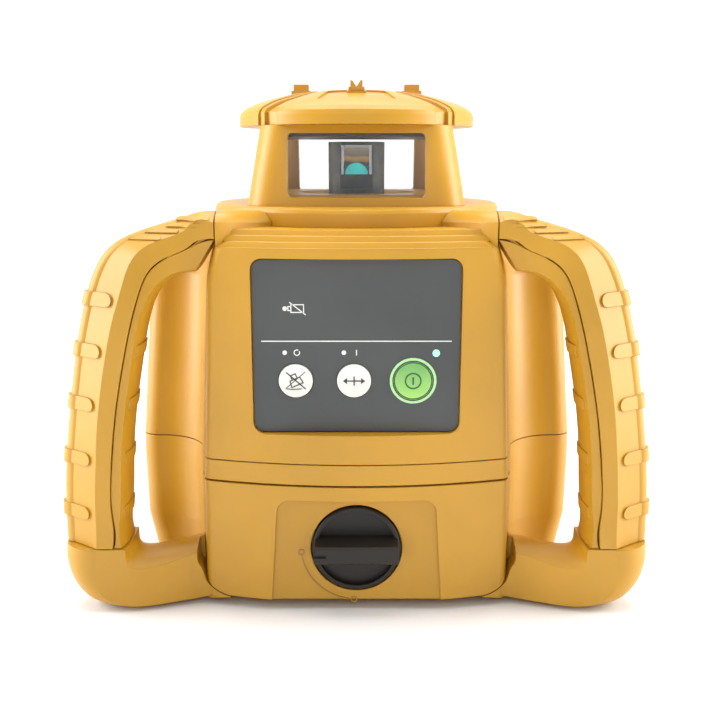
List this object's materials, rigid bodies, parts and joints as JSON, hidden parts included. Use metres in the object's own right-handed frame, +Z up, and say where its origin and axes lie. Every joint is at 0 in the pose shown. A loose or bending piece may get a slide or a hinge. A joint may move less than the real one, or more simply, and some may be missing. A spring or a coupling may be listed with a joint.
{
  "type": "rotating laser level",
  "caption": "Self-levelling rotating laser level with two side handles, glazed rotor tower, front keypad and slide-out battery drawer with lock knob.",
  "frame": {"origin": "middle of the footprint on the ground, under the rotor axis", "axes": "+Z up along the rotor axis, -Y the keypad side, +X the right-hand handle"},
  "size_m": [0.2554, 0.182, 0.2266],
  "materials": {
    "body_yellow": "satin",
    "grip_yellow": "fine grain",
    "panel_grey": "matte",
    "glass_clear": "polished",
    "black_plastic": "matte",
    "ceiling_dark": "matte",
    "knob_dark": "satin",
    "key_white": "satin",
    "key_green": "gloss",
    "ring_green": "gloss",
    "led_lens": "gloss",
    "led_mint": "gloss",
    "rotor_bronze": "speckled satin",
    "prism_glass": "polished",
    "lens_cyan": "polished",
    "aluminium": "turned",
    "steel": "satin",
    "rubber_black": "matte",
    "board_green": "solder mask",
    "cell_wrap": "gloss",
    "brass": "satin"
  },
  "bodies": {
    "housing": {"upper_housing": "body_yellow", "base_housing": "body_yellow", "housing_gasket": "rubber_black", "tripod_plate": "aluminium", "rubber_feet": "rubber_black", "chassis_plate": "aluminium", "main_board": "board_green", "board_parts": "black_plastic", "bay_contacts": "steel", "latch_keeper": "steel", "left_handle_grip": "grip_yellow", "right_handle_grip": "grip_yellow", "left_handle_inner": "grip_yellow", "right_handle_inner": "grip_yellow", "left_handle_foot": "body_yellow", "right_handle_foot": "body_yellow", "handle_screws": "steel", "keypad_panel": "panel_grey", "keypad_board": "board_green", "dome_switches": "steel", "power_bezel": "ring_green", "indicator_leds": "led_lens", "power_led": "led_mint", "top_ring": "body_yellow", "tower_cage": "body_yellow", "window_panes": "glass_clear", "lid_pads": "body_yellow", "ceiling_plate": "ceiling_dark", "lid_crown": "body_yellow", "sight_blades": "body_yellow", "gimbal_brackets": "aluminium", "x_levelling_motor": "steel"},
    "gimbal": {"gimbal_ring": "aluminium", "y_levelling_motor": "steel"},
    "x_roller": {"x_drive_roller": "brass"},
    "y_roller": {"y_drive_roller": "brass"},
    "laser_unit": {"optical_tube": "aluminium", "laser_diode_module": "brass", "collimator_lens": "glass_clear", "rotor_bearings": "steel", "drive_motor": "steel", "drive_belt": "rubber_black", "tilt_vials": "glass_clear"},
    "motor_shaft": {"motor_pulley": "brass"},
    "rotor": {"rotor_spindle": "steel", "rotor_pulley": "black_plastic", "prism_housing": "rotor_bronze", "pentaprism": "prism_glass", "prism_frame": "steel", "beam_window": "lens_cyan"},
    "battery_door": {"battery_cover": "body_yellow", "cover_gasket": "rubber_black", "battery_tray": "black_plastic", "battery_cells": "cell_wrap", "tray_contacts": "steel"},
    "knob": {"lock_knob": "knob_dark", "latch_cam": "steel"},
    "power_key": {"power_button": "key_green"},
    "manual_key": {"manual_button": "key_white"},
    "tilt_key": {"tilt_button": "key_white"}
  },
  "joints": [
    {"name": "gimbal_tilt", "type": "hinge", "parent": "housing", "child": "gimbal", "pos_m": [0, 0, 0.149], "axis": [1, 0, 0], "range_deg": [-5, 5]},
    {"name": "unit_tilt", "type": "hinge", "parent": "gimbal", "child": "laser_unit", "pos_m": [0, 0, 0.149], "axis": [0, 1, 0], "range_deg": [-5, 5]},
    {"name": "x_roller_spin", "type": "hinge", "parent": "housing", "child": "x_roller", "pos_m": [-0.0435, 0, 0.08765], "axis": [1, 0, 0], "range_deg": [-57, 57]},
    {"name": "y_roller_spin", "type": "hinge", "parent": "gimbal", "child": "y_roller", "pos_m": [0, 0.0285, 0.08765], "axis": [0, 1, 0], "range_deg": [-57, 57]},
    {"name": "rotor_spin", "type": "hinge", "parent": "laser_unit", "child": "rotor", "pos_m": [0, 0, 0.149], "axis": [0, 0, 1], "continuous": true},
    {"name": "motor_spin", "type": "hinge", "parent": "laser_unit", "child": "motor_shaft", "pos_m": [0.031, 0, 0.149], "axis": [0, 0, 1], "continuous": true},
    {"name": "battery_door_slide", "type": "slide", "parent": "housing", "child": "battery_door", "axis": [0, -1, 0], "range_m": [0, 0.09]},
    {"name": "knob_turn", "type": "hinge", "parent": "battery_door", "child": "knob", "pos_m": [0, -0.0775, 0.0287], "axis": [0, 1, 0], "range_deg": [-90, 0]},
    {"name": "power_press", "type": "slide", "parent": "housing", "child": "power_key", "axis": [0, 1, 0], "range_m": [0, 0.0008], "stiffness_N_per_m": 800},
    {"name": "manual_press", "type": "slide", "parent": "housing", "child": "manual_key", "axis": [0, 1, 0], "range_m": [0, 0.0008], "stiffness_N_per_m": 800},
    {"name": "tilt_press", "type": "slide", "parent": "housing", "child": "tilt_key", "axis": [0, 1, 0], "range_m": [0, 0.0008], "stiffness_N_per_m": 800}
  ],
  "couplings": [
    {"joint": "x_roller_spin", "follows": "gimbal_tilt", "ratio": -11.2},
    {"joint": "y_roller_spin", "follows": "unit_tilt", "ratio": -11.2},
    {"joint": "motor_spin", "follows": "rotor_spin", "ratio": 2}
  ]
}
